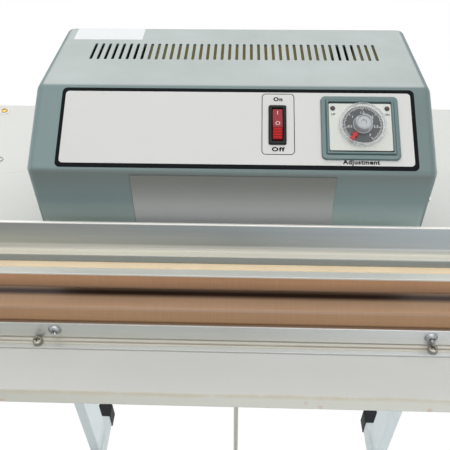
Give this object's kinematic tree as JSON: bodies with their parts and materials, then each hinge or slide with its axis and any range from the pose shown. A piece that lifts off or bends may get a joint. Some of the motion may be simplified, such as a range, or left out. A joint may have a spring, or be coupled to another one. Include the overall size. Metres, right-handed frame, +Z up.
{
  "type": "foot-operated impulse heat sealer",
  "caption": "Floor-standing impulse heat sealer: treadle, pull rod and yoke draw a sliding upper jaw onto a heated lower jaw on a table, with a timer control box behind.",
  "frame": {"origin": "centre of the bounding box's footprint on the floor", "axes": "+X to the operator's right, +Y from the operator to the machine's rear, +Z up"},
  "size_m": [0.7, 0.5836, 0.8786],
  "materials": {
    "table_sheet": "satin off-white powder coat",
    "brass_hardware": "turned brass",
    "white_washer": "white nylon",
    "stand_paint": "pale blue-grey powder coat",
    "rubber_black": "black rubber",
    "zinc_bolt": "zinc-plated steel",
    "head_paint": "grey-green semi-gloss enamel",
    "label_film": null,
    "plate_grey": "plain grey plate, blank",
    "sticker_white": "blank white sticker",
    "black_plastic": "moulded black plastic",
    "rocker_red": "lit translucent red",
    "timer_case": "moulded grey-green plastic",
    "timer_scale": "printed white scale, numbers only",
    "dial_plastic": "dark dial with clear rim",
    "lamp_red": "small red lamp lens",
    "core_steel": "varnished laminations",
    "copper_coil": "taped copper winding",
    "terminal_plastic": "cream thermoplastic",
    "jaw_aluminium": "extruded, clear anodised",
    "bar_aluminium": "brushed flat bar",
    "insulation": "tan glass-filled laminate",
    "nichrome": "nickel-chrome ribbon",
    "ptfe_cloth": "brown coated glass cloth",
    "silicone": "red-brown silicone rubber",
    "ground_steel": "hard-chromed ground rod",
    "spring_steel": "coiled spring wire",
    "zinc_rod": "yellow-passivated zinc",
    "bracket_steel": "zinc-plated sheet",
    "plunger_red": "moulded plunger"
  },
  "bodies": {
    "frame": {"table": "table_sheet", "table_screws": "brass_hardware", "table_washers": "white_washer", "table_rails": "stand_paint", "upright_left": "stand_paint", "upright_right": "stand_paint", "foot_left": "stand_paint", "foot_right": "stand_paint", "foot_boots": "rubber_black", "top_crossbeam": "stand_paint", "lower_crossbeam": "stand_paint", "stand_bolts": "zinc_bolt", "head_base": "head_paint", "head_cover": "head_paint", "head_screws": "zinc_bolt", "panel_label": "label_film", "blank_plate": "plate_grey", "blank_sticker": "sticker_white", "cord_gland": "black_plastic", "switch_bezel": "black_plastic", "timer_bezel": "timer_case", "timer_body": "black_plastic", "timer_face": "timer_scale", "timer_lamps": "lamp_red", "transformer_core": "core_steel", "transformer_coil": "copper_coil", "terminal_block": "terminal_plastic", "lower_jaw": "jaw_aluminium", "insulation_strip": "insulation", "heating_element": "nichrome", "element_terminals": "brass_hardware", "lower_ptfe": "ptfe_cloth", "front_clamp_bar": "bar_aluminium", "clamp_screws": "zinc_bolt", "base_screws": "zinc_bolt", "post_bushes": "brass_hardware", "switch_bracket": "bracket_steel", "microswitch": "black_plastic", "pedal_shaft": "ground_steel"},
    "jaw": {"upper_jaw": "jaw_aluminium", "backing_strip": "insulation", "nose_bar": "bar_aluminium", "nose_rubber": "silicone", "upper_ptfe": "ptfe_cloth", "jaw_block_left": "jaw_aluminium", "jaw_block_right": "jaw_aluminium", "guide_posts": "ground_steel", "post_nuts": "zinc_bolt", "return_springs": "spring_steel", "yoke": "stand_paint", "pull_rod": "zinc_rod", "rod_nuts": "zinc_bolt", "rod_pin": "zinc_bolt"},
    "pedal": {"pedal_frame": "stand_paint", "pedal_pad": "rubber_black"},
    "rocker": {"switch_rocker": "rocker_red"},
    "dial": {"timer_dial": "dial_plastic"},
    "plunger": {"microswitch_plunger": "plunger_red"}
  },
  "joints": [
    {"name": "jaw_slide", "type": "slide", "parent": "frame", "child": "jaw", "axis": [0, 0, -1], "range_m": [0, 0.0121], "stiffness_N_per_m": 1500, "springref_m": -0.045, "deforming": ["return_springs"]},
    {"name": "pedal_hinge", "type": "hinge", "parent": "frame", "child": "pedal", "pos_m": [0, 0.03207, 0.03], "axis": [1, 0, 0], "range_deg": [0, 6.02]},
    {"name": "rocker_hinge", "type": "hinge", "parent": "frame", "child": "rocker", "pos_m": [0.0303, -0.02218, 0.86188], "axis": [1, 0, 0], "range_deg": [0, 13]},
    {"name": "dial_hinge", "type": "hinge", "parent": "frame", "child": "dial", "pos_m": [0.097, -0.02419, 0.86289], "axis": [0, -0.5131, 0.8583], "range_deg": [-75, 225]},
    {"name": "plunger_slide", "type": "slide", "parent": "frame", "child": "plunger", "axis": [0, 0, -1], "range_m": [0, 0.0015]}
  ],
  "couplings": [
    {"joint": "pedal_hinge", "follows": "jaw_slide", "rad_per_m": 8.6129},
    {"joint": "plunger_slide", "follows": "jaw_slide", "ratio": 0.12396}
  ]
}
